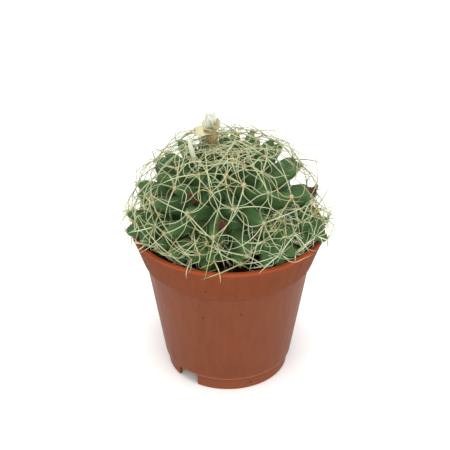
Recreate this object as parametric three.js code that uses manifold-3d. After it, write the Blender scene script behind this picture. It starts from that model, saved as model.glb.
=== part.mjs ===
// A bird's nest cactus (Mammillaria) in its plastic nursery pot.
// Millimetres, +Z up, origin on the table under the middle of the pot, front of the plant towards -Y.
// One mother head of long green tubercles fills the pot, and small offset heads crowd its foot. Every
// tubercle ends in a star of long bristly spines that lie over the head like the twigs of a nest.
import * as THREE from "three";
import { mergeVertices } from "three/addons/utils/BufferGeometryUtils.js";
import Module from "manifold-3d";

const wasm = await Module();
wasm.setup();

// Pot: an 8.5 cm round nursery pot with a flared collar and a notched foot ring
const POT_HEIGHT = 70;
const LIP_RADIUS = 42.5;
const LIP_WIDTH = 2.4;
const LIP_DEPTH = 2.2;
const COLLAR_BOTTOM = 54.8;
const COLLAR_BOTTOM_RADIUS = 37.7;
const COLLAR_STEP = 1.1;
const WALL = 1.2;
const FOOT_RADIUS = 27.5;
const FOOT_INNER_RADIUS = 25.7;
const FOOT_HEIGHT = 6.6;
const WALL_BOTTOM_RADIUS = 29.1;
const FLOOR_THICKNESS = 1.4;
const POT_ROUND = 0.7;
const POT_SIDES = 32;
const NOTCH = { angles: [-41.5, 95, 206.75], width: 10.5, height: 6.1, corner: 1.8, flare: 0.5 };

// Soil: potting mix up to a little under the lip, in low lumps
const SOIL_TOP = 62.4;
const SOIL_LUMP = 0.55;
const SOIL_SIDES = 24;
const SOIL_RINGS = [33, 24];

// The gap that two pieces keep where they lie against each other
const GAP = 0.35;
// Two solids count as clear where they share less than this volume
const NOTHING = 1e-6;
// A tubercle tip up to this far under the top of the lip is lifted over it
const LIP_ROOM = 3;
// How far the spines may stand out to each side of the pot's axis, and how low they may hang
const SPREAD = 46;
const LOWEST_SPINE = POT_HEIGHT - 2;
const GOLDEN_ANGLE = Math.PI * (3 - Math.sqrt(5));

// Mother head: its tubercle tips lie on a squat dome, and its growing point leans a little to the front
const MOTHER = {
  name: "mother_head",
  seed: 4021,
  centre: [-0.6, -0.5, 75],
  reach: 41,
  height: 36,
  lean: 8.3,
  leanTowards: 9.3,
  turn: 3.11,
  trunk: { reach: 24.5, height: 27.5, sides: 12, rows: 5 },
  stem: { radius: 16, depth: 7.4 },
  youngSpacing: 5.9,
  spacing: 15.5,
  grownPolar: 74.5,
  lastPolar: 118,
  pushingOut: { azimuths: [8, -47, -35], polar: 101 },
  youngReach: 0.91,
  thickness: [0.42, 0.335],
  lengths: [1, 0.9, 0.8, 0.7, 0.6],
  sides: 6,
  youngSpines: 0.9,
  spines: 2,
  spineLength: 25,
  spineRise: [-14, 6],
  spineSteps: 3,
};

// Offset heads: small globes on short stems between the outer tubercles of the mother head. Their
// trunk, stem and height are shares of their reach, and their youngest tubercles a share of the spacing.
const OFFSET = {
  lean: 16,
  turn: 0,
  grownPolar: 80,
  lastPolar: 140,
  youngReach: 0.86,
  thickness: [0.42, 0.42],
  lengths: [1, 0.88, 0.76],
  sides: 5,
  youngSpines: 1.4,
  spines: 1.25,
  spineLength: 14,
  spineRise: [0, 34],
  spineSteps: 2,
  stemRing: 31.5,
  stemDepth: 5,
  stemShare: 0.34,
  trunkShare: 0.6,
  heightShare: 1.1,
  youngShare: 0.55,
};
const OFFSETS = [
  { name: "offset_front", seed: 77, azimuth: -14, ring: 33.8, z: 75, reach: 7.8, spacing: 6.9 },
  { name: "offset_front_right", seed: 131, azimuth: 33, ring: 32.2, z: 75, reach: 10.4, spacing: 8.6 },
  { name: "offset_right", seed: 215, azimuth: 67, ring: 35.5, z: 75.5, reach: 10, spacing: 8.4 },
  { name: "offset_left", seed: 302, azimuth: -67, ring: 35.5, z: 77, reach: 11, spacing: 8.8 },
  { name: "offset_back", seed: 523, azimuth: 158, ring: 33, z: 74, reach: 9.6, spacing: 8.4 },
];

// One tubercle, in shares of its radius and length: a blunt cone that is bowed a little upwards
const TUBERCLE = { depth: 0.72, root: 1.06, shoulder: 0.65, shoulderAt: 0.85, tip: 0.37, bow: 0.4 };
// A tubercle of the mother head keeps this share of an offset head's reach away from its centre
const OFFSET_ROOM = 0.85;
// One spine: its radius at the root, and shares of its length for its arch and its sideways bend
const SPINE = { radius: [0.3, 0.36], taper: 0.22, sunk: 0.45, arch: [0.1, 0.2], twist: 0.16 };
// Spines differ in length, are shorter on young tubercles, and stand a little off an even star. One
// that doesn't fit is tried again, shorter, and in the last tries it may touch the spines before it.
const SPINE_FIT = { lengths: [0.68, 1.05], young: 0.75, swing: 1.4, tries: 7, triesApart: 5, shorten: 0.07 };

// Flowers stand in sockets between the tubercles of the mother head: an open one by the crown, a
// closed one beside it, and the dry remains of three older ones
const OPEN_FLOWER = { azimuth: -65, polar: 9, sunk: 9.5, length: 23.5, tube: 1.9, sepal: 6.8, petal: 10 };
const CLOSED_FLOWER = { azimuth: -51, polar: 25, sunk: 8, length: 17.6, radius: 1.05 };
const WITHERED_FLOWERS = [
  { name: "withered_flower_left", azimuth: -27, polar: 49, sunk: 7, length: 8.6, radius: 1.4 },
  { name: "withered_flower_middle", azimuth: -2, polar: 64, sunk: 7.5, length: 8, radius: 1.9 },
  { name: "withered_flower_right", azimuth: 84, polar: 66, sunk: 9, length: 11, radius: 1.6 },
];
const FLOWER_UPTURN = 0.35;
const PETAL_FLATNESS = 0.4;

const PLASTIC = { color: 0x8f5238, roughness: 0.45 };
const PEAT = { color: 0x2b2420, roughness: 0.95 };
const SKIN = { color: 0x2f6b45, roughness: 0.5 };
const YOUNG_SKIN = { color: 0x5f9a48, roughness: 0.5 };
const SEPAL = { color: 0xc9b380, roughness: 0.7 };
const PETAL = { color: 0xe8eed8, roughness: 0.6 };
const DRY = { color: 0x8a5a34, roughness: 0.85 };

const UP = new THREE.Vector3(0, 0, 1);
const radians = THREE.MathUtils.degToRad;
const mix = THREE.MathUtils.lerp;
const ease = (x) => THREE.MathUtils.smoothstep(x, 0, 1);
const middleOf = (a, b) => a.clone().lerp(b, 0.5);
const bend = (from, through, to) => new THREE.QuadraticBezierCurve3(from, through, to);

// Unit vector at an azimuth counted from the front (-Y) to the right (+X), and a polar angle from +Z
function direction(azimuth, polar) {
  const flat = Math.sin(polar);
  return new THREE.Vector3(Math.sin(azimuth) * flat, -Math.cos(azimuth) * flat, Math.cos(polar));
}

// A seeded row of draws between 0 and 1, the same on every run
function draws(seed) {
  const step = 16807;
  const range = 2147483647;
  let state = (seed * step ** 2) % range;
  return () => {
    state = (state * step) % range;
    return state / range;
  };
}

// A closed solid out of a three.js geometry
function solid(geometry) {
  const bare = new THREE.BufferGeometry().setAttribute("position", geometry.getAttribute("position"));
  if (geometry.index) bare.setIndex(geometry.index);
  const merged = mergeVertices(bare, 1e-4);
  return new wasm.Manifold(
    new wasm.Mesh({
      numProp: 3,
      vertProperties: new Float32Array(merged.attributes.position.array),
      triVerts: new Uint32Array(merged.index.array),
    }),
  );
}

const join = (solids) => solids.reduce((sum, one) => sum.add(one));
const cut = (body, tools) => tools.reduce((rest, tool) => rest.subtract(tool), body);
// The largest connected surface of a body, without loose scraps and the sealed hollows inside it
const larger = (a, b) => (b.volume() > a.volume() ? b : a);
const whole = (body) => body.decompose().reduce(larger);
const isClear = (body, others) => others.every((other) => body.intersect(other).volume() < NOTHING);

function boxOf(body) {
  const { min, max } = body.boundingBox();
  return new THREE.Box3(new THREE.Vector3(...min), new THREE.Vector3(...max));
}

function mesh(name, body, { color, roughness }) {
  const { numProp, vertProperties, triVerts } = body.getMesh();
  const position = new Float32Array((vertProperties.length / numProp) * 3);
  for (let i = 0; i * 3 < position.length; i++) {
    position.set(vertProperties.subarray(i * numProp, i * numProp + 3), i * 3);
  }
  const geometry = new THREE.BufferGeometry()
    .setAttribute("position", new THREE.BufferAttribute(position, 3))
    .setIndex(new THREE.BufferAttribute(new Uint32Array(triVerts), 1));
  geometry.computeVertexNormals();
  const made = new THREE.Mesh(geometry, new THREE.MeshStandardMaterial({ color, roughness, metalness: 0 }));
  made.name = name;
  return made;
}

// A turned body: [radius, height] points from the axis round to the axis
function turned(points, sides) {
  const profile = points.map(([radius, height]) => new THREE.Vector2(radius, height));
  return new THREE.LatheGeometry(profile, sides).rotateX(Math.PI / 2);
}

// The corners of one section of a sweep, round a point of its curve. A radius of 0 gives one point.
function section(curve, [share, radius], sides, across, flatness) {
  const middle = curve.getPoint(share);
  if (radius === 0) return middle.toArray();
  const along = curve.getTangent(share);
  const side = across.clone().addScaledVector(along, -across.dot(along)).normalize();
  const normal = along.clone().cross(side);
  const corners = [];
  for (let j = 0; j < sides; j++) {
    const angle = (2 * Math.PI * j) / sides;
    const corner = middle.clone().addScaledVector(side, Math.cos(angle) * radius);
    corner.addScaledVector(normal, Math.sin(angle) * radius * flatness);
    corners.push(...corner.toArray());
  }
  return corners;
}

// A closed sweep along a curve. Each station is [share of the curve, radius], and the last one may
// have radius 0 for a point. Flatness presses the section thin, square to the direction "across".
function sweep(curve, stations, sides, across, flatness = 1) {
  const position = stations.flatMap((station) => section(curve, station, sides, across, flatness));
  const pointed = stations.at(-1)[1] === 0;
  const bands = stations.length - (pointed ? 2 : 1);
  const last = bands * sides;
  const index = [];
  for (let i = 0; i < last; i++) {
    const next = i % sides === sides - 1 ? i + 1 - sides : i + 1;
    index.push(i, next, next + sides, i, next + sides, i + sides);
  }
  for (let j = 1; j < sides - 1; j++) index.push(0, j + 1, j);
  for (let j = 0; pointed && j < sides; j++) index.push(last + j, last + ((j + 1) % sides), last + sides);
  for (let j = 1; !pointed && j < sides - 1; j++) index.push(last, last + j, last + j + 1);
  const geometry = new THREE.BufferGeometry()
    .setAttribute("position", new THREE.Float32BufferAttribute(position, 3))
    .setIndex(index);
  return solid(geometry);
}

function potWallRadius(z) {
  const share = (z - FOOT_HEIGHT) / (COLLAR_BOTTOM - FOOT_HEIGHT);
  return mix(WALL_BOTTOM_RADIUS, COLLAR_BOTTOM_RADIUS - COLLAR_STEP, share);
}

// Inner radius of the pot at a height between its floor and the foot of its lip
function potInnerRadius(z) {
  if (z < COLLAR_BOTTOM) return potWallRadius(z) - WALL;
  const share = (z - COLLAR_BOTTOM) / (POT_HEIGHT - LIP_DEPTH - COLLAR_BOTTOM);
  return mix(COLLAR_BOTTOM_RADIUS - WALL, LIP_RADIUS - LIP_WIDTH, share);
}

function potSolid() {
  const floorTop = FOOT_HEIGHT + FLOOR_THICKNESS;
  const lipFoot = POT_HEIGHT - LIP_DEPTH;
  const body = turned(
    [
      [0, FOOT_HEIGHT],
      [FOOT_INNER_RADIUS, FOOT_HEIGHT],
      [FOOT_INNER_RADIUS, 0],
      [FOOT_RADIUS - POT_ROUND, 0],
      [FOOT_RADIUS, POT_ROUND],
      [FOOT_RADIUS, FOOT_HEIGHT - POT_ROUND],
      [WALL_BOTTOM_RADIUS - POT_ROUND, FOOT_HEIGHT],
      [WALL_BOTTOM_RADIUS, FOOT_HEIGHT + POT_ROUND],
      [potWallRadius(COLLAR_BOTTOM), COLLAR_BOTTOM],
      [COLLAR_BOTTOM_RADIUS, COLLAR_BOTTOM + POT_ROUND],
      [LIP_RADIUS - POT_ROUND / 2, lipFoot],
      [LIP_RADIUS, POT_HEIGHT - POT_ROUND],
      [LIP_RADIUS - POT_ROUND, POT_HEIGHT],
      [LIP_RADIUS - LIP_WIDTH + POT_ROUND, POT_HEIGHT],
      [LIP_RADIUS - LIP_WIDTH, POT_HEIGHT - POT_ROUND],
      [LIP_RADIUS - LIP_WIDTH, lipFoot],
      [potInnerRadius(COLLAR_BOTTOM), COLLAR_BOTTOM],
      [potInnerRadius(COLLAR_BOTTOM - WALL), COLLAR_BOTTOM - WALL],
      [potInnerRadius(floorTop + WALL), floorTop + WALL],
      [potInnerRadius(floorTop) - WALL, floorTop],
      [0, floorTop],
    ],
    POT_SIDES,
  );
  return cut(solid(body), NOTCH.angles.map(notchSolid));
}

// One drainage notch in the foot ring: a round-cornered gate cut through it from below
function notchSolid(angle) {
  const { width, height, corner, flare } = NOTCH;
  const half = width / 2;
  const gate = new THREE.Shape();
  gate.moveTo(-half - flare, -1);
  gate.lineTo(half + flare, -1);
  gate.lineTo(half, height - corner);
  gate.quadraticCurveTo(half, height, half - corner, height);
  gate.lineTo(-half + corner, height);
  gate.quadraticCurveTo(-half, height, -half, height - corner);
  gate.closePath();
  const depth = 4 * (FOOT_RADIUS - FOOT_INNER_RADIUS);
  const gateway = new THREE.ExtrudeGeometry(gate, { depth, bevelEnabled: false, curveSegments: 3 });
  gateway.rotateX(Math.PI / 2);
  gateway.translate(0, -FOOT_INNER_RADIUS + depth / 2, 0);
  gateway.rotateZ(radians(angle));
  return solid(gateway);
}

// Height of the lumpy top of the potting mix
function soilHeight(x, y) {
  const lumps = Math.sin(x * 0.83 + y * 0.31) + Math.sin(y * 0.97 - x * 0.42) + Math.sin(x * 0.37 + y * 0.58);
  return SOIL_TOP + (SOIL_LUMP * lumps) / 2;
}

function soilSolid(stemHoles) {
  const floor = FOOT_HEIGHT + FLOOR_THICKNESS + GAP;
  const edge = (z) => potInnerRadius(z) - 1.6 * GAP;
  const geometry = turned(
    [
      [0, floor],
      [edge(floor) - WALL, floor],
      [edge(COLLAR_BOTTOM - WALL), COLLAR_BOTTOM - WALL],
      [edge(COLLAR_BOTTOM), COLLAR_BOTTOM],
      [edge(SOIL_TOP), SOIL_TOP],
      ...SOIL_RINGS.map((radius) => [radius, SOIL_TOP]),
      [0, SOIL_TOP],
    ],
    SOIL_SIDES,
  );
  const position = geometry.getAttribute("position");
  for (let i = 0; i < position.count; i++) {
    const onTop = Math.abs(position.getZ(i) - SOIL_TOP) < 0.01;
    if (onTop) position.setZ(i, soilHeight(position.getX(i), position.getY(i)));
  }
  return cut(solid(geometry), stemHoles);
}

// The mother head with its centre, its sizes as vectors, and the tilted frame that its spiral grows in
function placeMother() {
  const { centre, reach, height, lean, leanTowards } = MOTHER;
  const axis = direction(radians(leanTowards), radians(lean));
  return {
    ...MOTHER,
    centre: new THREE.Vector3(...centre),
    foot: new THREE.Vector3(centre[0], centre[1], 0),
    tips: new THREE.Vector3(reach, reach, height),
    axis,
    tilt: new THREE.Quaternion().setFromUnitVectors(UP, axis),
  };
}

// An offset head in the same form: it leans outwards, and its stem stands a little further in
function placeOffset(offset) {
  const { azimuth, ring, z, reach } = offset;
  const outwards = direction(radians(azimuth), Math.PI / 2);
  const axis = direction(radians(azimuth), radians(OFFSET.lean));
  return {
    ...OFFSET,
    ...offset,
    trunk: { reach: reach * OFFSET.trunkShare, height: reach * OFFSET.trunkShare, sides: 7, rows: 3 },
    stem: { radius: reach * OFFSET.stemShare, depth: OFFSET.stemDepth },
    centre: outwards.clone().multiplyScalar(ring).setZ(z),
    foot: outwards.clone().multiplyScalar(OFFSET.stemRing),
    tips: new THREE.Vector3(reach, reach, reach * OFFSET.heightShare),
    youngSpacing: offset.spacing * OFFSET.youngShare,
    axis,
    tilt: new THREE.Quaternion().setFromUnitVectors(UP, axis),
  };
}

// Moves each ring of a turned body sideways from under the head's centre to over its foot
function standOnFoot(geometry, { centre, foot }, neck) {
  const position = geometry.getAttribute("position");
  for (let i = 0; i < position.count; i++) {
    const drop = THREE.MathUtils.clamp((centre.z - position.getZ(i)) / (centre.z - neck), 0, 1);
    const x = position.getX(i) + mix(centre.x, foot.x, drop);
    position.setXY(i, x, position.getY(i) + mix(centre.y, foot.y, drop));
  }
  return solid(geometry);
}

// The body that the tubercles of a head stand on, with its stem down into the soil
function trunkSolid(head) {
  const { centre, trunk, stem } = head;
  const neck = SOIL_TOP + 2 * SOIL_LUMP + GAP;
  const profile = [
    [0, SOIL_TOP - stem.depth],
    [stem.radius, SOIL_TOP - stem.depth],
    [stem.radius, neck],
  ];
  for (let i = 0; i < trunk.rows; i++) {
    const up = ((Math.PI / 2) * i) / trunk.rows;
    profile.push([trunk.reach * Math.cos(up), centre.z + trunk.height * Math.sin(up)]);
  }
  profile.push([0, centre.z + trunk.height]);
  return standOnFoot(turned(profile, trunk.sides), head, neck);
}

// The plain hole in the soil that a stem stands in
function stemHole(head) {
  const { trunk, stem } = head;
  const neck = SOIL_TOP + 2 * SOIL_LUMP + GAP;
  const bottom = SOIL_TOP - stem.depth - GAP;
  const radius = stem.radius + GAP;
  const profile = [
    [0, bottom],
    [radius, bottom],
    [radius, neck],
    [0, neck],
  ];
  return standOnFoot(turned(profile, trunk.sides), head, neck);
}

// One tubercle of a head: it grows from inside the trunk towards "way", up to its share of the reach
function tubercleAt(head, way, { share, grown, radius, bow }) {
  const trunk = new THREE.Vector3(head.trunk.reach, head.trunk.reach, head.trunk.height);
  const tip = way.clone().multiply(head.tips).multiplyScalar(share).add(head.centre);
  const root = way.clone().multiply(trunk).multiplyScalar(TUBERCLE.depth).add(head.centre);
  return { way, grown, tip, root, radius, bow };
}

// The tubercles of a head, on a golden-angle spiral whose steps widen from the growing point outwards
function growTubercles(head) {
  const draw = draws(head.seed);
  const packing = 0.93;
  const poleLimit = 0.12;
  const youngPolar = radians(35);
  const tubercles = [];
  let polar = head.youngSpacing / head.reach / 2;
  for (let n = 0; polar < radians(head.lastPolar); n++) {
    const grown = ease(polar / radians(head.grownPolar));
    const spacing = mix(head.youngSpacing, head.spacing, grown);
    const way = direction(n * GOLDEN_ANGLE + head.turn, polar).applyQuaternion(head.tilt);
    const share = mix(head.youngReach, 1, ease(polar / youngPolar)) * mix(0.97, 1.03, draw());
    const radius = spacing * mix(...head.thickness, grown) * mix(0.94, 1.06, draw());
    tubercles.push(tubercleAt(head, way, { share, grown, radius, bow: draw() }));
    const ring = 2 * Math.PI * head.reach ** 2 * Math.sin(Math.max(polar, poleLimit));
    polar += spacing ** 2 / ring / packing;
  }
  return tubercles;
}

// Full-grown tubercles of the mother head that push out low down, between two offset heads
function pushOut(mother) {
  const { azimuths, polar } = mother.pushingOut;
  const full = { share: 1, grown: 1, radius: mother.spacing * mother.thickness[1], bow: 0 };
  return azimuths.map((azimuth) => tubercleAt(mother, direction(radians(azimuth), radians(polar)), full));
}

// Low tubercles of the mother head lie over the lip of the pot, and the lowest inside it on the soil
function settleInPot(tubercle) {
  const { tip, radius } = tubercle;
  const overLip = POT_HEIGHT + radius * TUBERCLE.shoulder + 2 * GAP;
  const room = LIP_RADIUS - LIP_WIDTH - 2;
  const out = Math.hypot(tip.x, tip.y);
  if (tip.z > POT_HEIGHT - LIP_ROOM && tip.z < overLip) tip.z = overLip;
  if (tip.z < overLip && out > room) {
    tip.x *= room / out;
    tip.y *= room / out;
  }
  tip.z = Math.max(tip.z, SOIL_TOP + radius + 1);
  return tubercle;
}

function tubercleSolid(head, { root, tip, radius, bow }, gap = 0) {
  const through = middleOf(root, tip).addScaledVector(UP, -TUBERCLE.bow * bow * radius);
  const across = tip.clone().sub(root).cross(UP).normalize();
  const stations = [
    [0, radius * TUBERCLE.root + gap],
    [TUBERCLE.shoulderAt, radius * TUBERCLE.shoulder + gap],
    [1, radius * TUBERCLE.tip + gap],
  ];
  return sweep(bend(root, through, tip), stations, head.sides, across);
}

// Each tubercle at the first of some lengths at which it fits, and none where it never fits
function fitTubercles(head, tubercles, fits) {
  const fitted = [];
  tubercles.forEach((tubercle, index) => {
    for (const share of head.lengths) {
      const shorter = { ...tubercle, index, tip: tubercle.root.clone().lerp(tubercle.tip, share) };
      if (!fits(shorter, tubercleSolid(head, shorter, GAP))) continue;
      fitted.push(shorter);
      return;
    }
  });
  return fitted;
}

function headBody(head, tubercles) {
  return join([trunkSolid(head), ...tubercles.map((tubercle) => tubercleSolid(head, tubercle))]);
}

// One spine: it leaves the tip of its tubercle sideways and arches over the head to its own point
function spineCurve(head, { tip, way, root, radius }, angle, length, draw) {
  const outward = way.clone().divide(head.tips).normalize();
  const side = outward.clone().cross(head.axis).normalize();
  const run = side.clone().cross(outward);
  const spread = side.multiplyScalar(Math.cos(angle)).addScaledVector(run, Math.sin(angle));
  const from = tip.clone().addScaledVector(tip.clone().sub(root).normalize(), -radius * SPINE.sunk);
  const rise = radians(mix(...head.spineRise, draw()));
  const to = tip.clone().addScaledVector(spread, length * Math.cos(rise));
  to.addScaledVector(outward, length * Math.sin(rise));
  to.x = THREE.MathUtils.clamp(to.x, -SPREAD, SPREAD);
  to.y = THREE.MathUtils.clamp(to.y, -SPREAD, SPREAD);
  to.z = Math.max(to.z, LOWEST_SPINE);
  const sideways = spread.clone().cross(outward);
  const through = middleOf(from, to)
    .addScaledVector(outward, length * mix(...SPINE.arch, draw()))
    .addScaledVector(sideways, length * mix(-SPINE.twist, SPINE.twist, draw()));
  return bend(from, through, to);
}

function spineSolid(head, curve, radius) {
  const stations = [];
  for (let i = 0; i < head.spineSteps; i++) {
    stations.push([i / head.spineSteps, radius * (1 - SPINE.taper * i)]);
  }
  stations.push([1, 0]);
  const across = curve.v2.clone().sub(curve.v0).cross(UP).normalize();
  return sweep(curve, stations, 3, across);
}

// One spine that is clear of the other pieces, and if it can be of the spines of other tubercles too
function fitSpine(head, tubercle, turn, draw, others, earlier) {
  const { lengths, young, swing, tries, triesApart, shorten } = SPINE_FIT;
  for (let attempt = 0; attempt < tries; attempt++) {
    const angle = turn + (draw() - 0.5) * swing;
    const shorter = mix(...lengths, draw()) * mix(young, 1, tubercle.grown) * (1 - attempt * shorten);
    const curve = spineCurve(head, tubercle, angle, head.spineLength * shorter, draw);
    const radius = mix(...SPINE.radius, draw());
    const body = spineSolid(head, curve, radius);
    const box = boxOf(body);
    const near = earlier.filter((spine) => box.intersectsBox(spine.box)).map((spine) => spine.body);
    const apart = attempt >= triesApart || isClear(body, near);
    if (apart && isClear(spineSolid(head, curve, radius + GAP), others)) return [{ body, box }];
  }
  return [];
}

// The spines of a head: a star on every tubercle, each with a row of draws of its own
function growSpines(head, tubercles, others) {
  const spines = [];
  for (const tubercle of tubercles) {
    const draw = draws(head.seed * (tubercle.index + 2));
    const start = draw() * 2 * Math.PI;
    const count = Math.floor(mix(head.youngSpines, head.spines, tubercle.grown) + draw());
    const star = [];
    for (let k = 0; k < count; k++) {
      star.push(...fitSpine(head, tubercle, start + (k * 2 * Math.PI) / count, draw, others, spines));
    }
    spines.push(...star);
  }
  return spines.map((spine) => spine.body);
}

// The foot and end of a flower on the mother head, and the direction in which it grows
function flowerPlace(mother, { azimuth, polar, sunk, length }) {
  const way = direction(radians(azimuth), radians(polar));
  const along = way.clone().lerp(UP, FLOWER_UPTURN).normalize();
  const foot = way.clone().multiply(mother.tips).add(mother.centre).addScaledVector(along, -sunk);
  const end = foot.clone().addScaledVector(along, length);
  return { foot, along, end, side: along.clone().cross(UP).normalize() };
}

// A ring of narrow petals round the growing direction of a flower, from its throat outwards
function petalRing({ throat, along, side }, { count, turn, length, width, flare, gap }) {
  const petals = [];
  for (let k = 0; k < count; k++) {
    const across = side.clone().applyAxisAngle(along, turn + (2 * Math.PI * k) / count);
    const out = across.clone().cross(along);
    const from = throat.clone().addScaledVector(out, width / 3);
    const through = from.clone().addScaledVector(along, length * 0.6).addScaledVector(out, width / 2);
    const to = from.clone().addScaledVector(along, length * Math.cos(flare));
    to.addScaledVector(out, length * Math.sin(flare));
    const stations = [
      [0, width * 0.5 + gap],
      [0.6, width + gap],
      [1, width * 0.3 + gap],
    ];
    petals.push(sweep(bend(from, through, to), stations, 4, across, PETAL_FLATNESS));
  }
  return petals;
}

function throatOf(place) {
  return place.end.clone().addScaledVector(place.along, -OPEN_FLOWER.petal);
}

// The tube of the open flower, with the wilting sepals that spread from its mouth
function flowerTube(mother, gap = 0) {
  const place = flowerPlace(mother, OPEN_FLOWER);
  const throat = throatOf(place);
  const { tube, sepal } = OPEN_FLOWER;
  const stations = [
    [0, tube * 0.65 + gap],
    [0.6, tube * 0.9 + gap],
    [1, tube * 1.5 + gap],
  ];
  const body = sweep(new THREE.LineCurve3(place.foot, throat), stations, 7, place.side);
  const below = throat.clone().addScaledVector(place.along, -0.7 * tube);
  const sepals = { count: 6, turn: 0, length: sepal, width: 1.8, flare: 1.15, gap };
  return join([body, ...petalRing({ ...place, throat: below }, sepals)]);
}

// The white petals of the open flower, on the short plug by which they sit in its tube
function flowerPetals(mother, gap = 0) {
  const place = flowerPlace(mother, OPEN_FLOWER);
  const throat = throatOf(place);
  const { tube, petal } = OPEN_FLOWER;
  const plugFoot = throat.clone().addScaledVector(place.along, -1.8 * tube);
  const plugTop = throat.clone().addScaledVector(place.along, 1.2 * tube);
  const stations = [
    [0, tube * 0.45 + gap],
    [1, tube * 0.75 + gap],
  ];
  const plug = sweep(new THREE.LineCurve3(plugFoot, plugTop), stations, 6, place.side);
  const petals = { count: 5, turn: 0.3, length: petal, width: 1.6, flare: 0.16, gap };
  return join([plug, ...petalRing({ ...place, throat }, petals)]);
}

function closedFlower(mother, gap = 0) {
  const { foot, end, side } = flowerPlace(mother, CLOSED_FLOWER);
  const { radius } = CLOSED_FLOWER;
  const through = middleOf(foot, end).addScaledVector(side, radius / 2);
  const stations = [
    [0, radius * 0.6 + gap],
    [0.35, radius * 0.75 + gap],
    [0.68, radius + gap],
    [0.9, radius * 0.62 + gap],
    [1, radius * 0.2 + gap],
  ];
  return sweep(bend(foot, through, end), stations, 7, side);
}

function witheredFlower(mother, flower, gap = 0) {
  const { foot, end, side } = flowerPlace(mother, flower);
  const { radius } = flower;
  const through = middleOf(foot, end).addScaledVector(side, radius * 0.7);
  const stations = [
    [0, radius * 0.7 + gap],
    [0.4, radius + gap],
    [0.7, radius * 0.6 + gap],
    [0.86, radius * 0.85 + gap],
    [1, radius * 0.3 + gap],
  ];
  return sweep(bend(foot, through, end), stations, 6, side, 0.8);
}

// Every flower piece with its own solid and the wider one that leaves its socket in the head
function makeFlowers(mother) {
  const tube = cut(flowerTube(mother), [flowerPetals(mother, GAP)]);
  const withered = WITHERED_FLOWERS.map((flower) => ({
    name: flower.name,
    body: witheredFlower(mother, flower),
    socket: witheredFlower(mother, flower, GAP),
    look: DRY,
  }));
  return [
    { name: "flower_tube", body: tube, socket: flowerTube(mother, GAP), look: SEPAL },
    { name: "flower_petals", body: flowerPetals(mother), socket: flowerPetals(mother, GAP), look: PETAL },
    { name: "flower_closed", body: closedFlower(mother), socket: closedFlower(mother, GAP), look: PETAL },
    ...withered,
  ];
}

// Mother tubercles give way to the offset heads, the pot and the soil
function fitMother(mother, offsets, fixed) {
  const trunks = offsets.map(trunkSolid);
  const fits = ({ tip, radius }, roomy) => {
    const room = radius * TUBERCLE.shoulder;
    const apart = offsets.every(({ centre, reach }) => tip.distanceTo(centre) > reach * OFFSET_ROOM + room);
    return apart && isClear(roomy, [...fixed, ...trunks]);
  };
  const grown = [...growTubercles(mother), ...pushOut(mother)].map(settleInPot);
  return fitTubercles(mother, grown, fits);
}

// The offset heads with their tubercles, each clear of the mother head, the pot and the heads before it
function fitOffsets(offsets, fixed) {
  const heads = [];
  for (const head of offsets) {
    const others = [...fixed, ...heads.map(({ body }) => body)];
    const fits = (tubercle, roomy) => isClear(roomy, others);
    const tubercles = fitTubercles(head, growTubercles(head), fits);
    heads.push({ head, tubercles, body: headBody(head, tubercles) });
  }
  return heads;
}

// Gives each head its spines in turn, clear of every other piece and of the spines already grown
function addSpines(heads, fixed) {
  heads.forEach((one) => {
    const others = heads.filter((other) => other !== one).map((other) => other.body);
    one.body = whole(join([one.body, ...growSpines(one.head, one.tubercles, [...others, ...fixed])]));
  });
}

function buildPlant() {
  const mother = placeMother();
  const offsets = OFFSETS.map(placeOffset);
  const pot = potSolid();
  const soil = soilSolid([mother, ...offsets].map(stemHole));
  const flowers = makeFlowers(mother);

  const tubercles = fitMother(mother, offsets, [pot, soil]);
  const motherBody = cut(headBody(mother, tubercles), flowers.map(({ socket }) => socket));
  const heads = fitOffsets(offsets, [motherBody, pot, soil]);
  heads.push({ head: mother, tubercles, body: motherBody });
  addSpines(heads, [pot, soil, ...flowers.map(({ body }) => body)]);

  const group = new THREE.Group();
  group.add(mesh("pot", pot, PLASTIC), mesh("soil", soil, PEAT));
  for (const { head, body } of heads) {
    group.add(mesh(head.name, body, head.name === "offset_front" ? YOUNG_SKIN : SKIN));
  }
  for (const { name, body, look } of flowers) group.add(mesh(name, body, look));
  return group;
}

const group = buildPlant();
export default group;
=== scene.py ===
import bmesh
import bpy
from math import cos, hypot, pi, radians, sin, sqrt, tau
from mathutils import Matrix, Quaternion, Vector, noise
from mathutils.bvhtree import BVHTree
from mathutils.kdtree import KDTree


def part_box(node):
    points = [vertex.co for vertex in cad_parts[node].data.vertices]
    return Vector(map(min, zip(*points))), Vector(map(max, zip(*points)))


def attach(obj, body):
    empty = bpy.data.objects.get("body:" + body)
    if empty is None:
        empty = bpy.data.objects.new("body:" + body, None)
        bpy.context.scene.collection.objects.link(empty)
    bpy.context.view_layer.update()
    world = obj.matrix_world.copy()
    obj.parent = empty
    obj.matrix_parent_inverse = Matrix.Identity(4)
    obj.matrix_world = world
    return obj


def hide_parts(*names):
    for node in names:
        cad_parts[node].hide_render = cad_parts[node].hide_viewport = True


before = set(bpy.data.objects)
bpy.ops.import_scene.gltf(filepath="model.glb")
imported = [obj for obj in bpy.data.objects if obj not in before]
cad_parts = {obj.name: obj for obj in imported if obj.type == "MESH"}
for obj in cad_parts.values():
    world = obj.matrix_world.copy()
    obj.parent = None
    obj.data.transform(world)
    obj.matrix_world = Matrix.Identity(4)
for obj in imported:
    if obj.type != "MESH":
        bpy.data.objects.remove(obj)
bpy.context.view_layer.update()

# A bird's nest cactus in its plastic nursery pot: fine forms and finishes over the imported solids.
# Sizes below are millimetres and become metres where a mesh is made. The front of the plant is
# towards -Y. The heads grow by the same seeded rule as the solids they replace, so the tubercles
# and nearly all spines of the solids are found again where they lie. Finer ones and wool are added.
from types import SimpleNamespace

MM = 0.001

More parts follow.
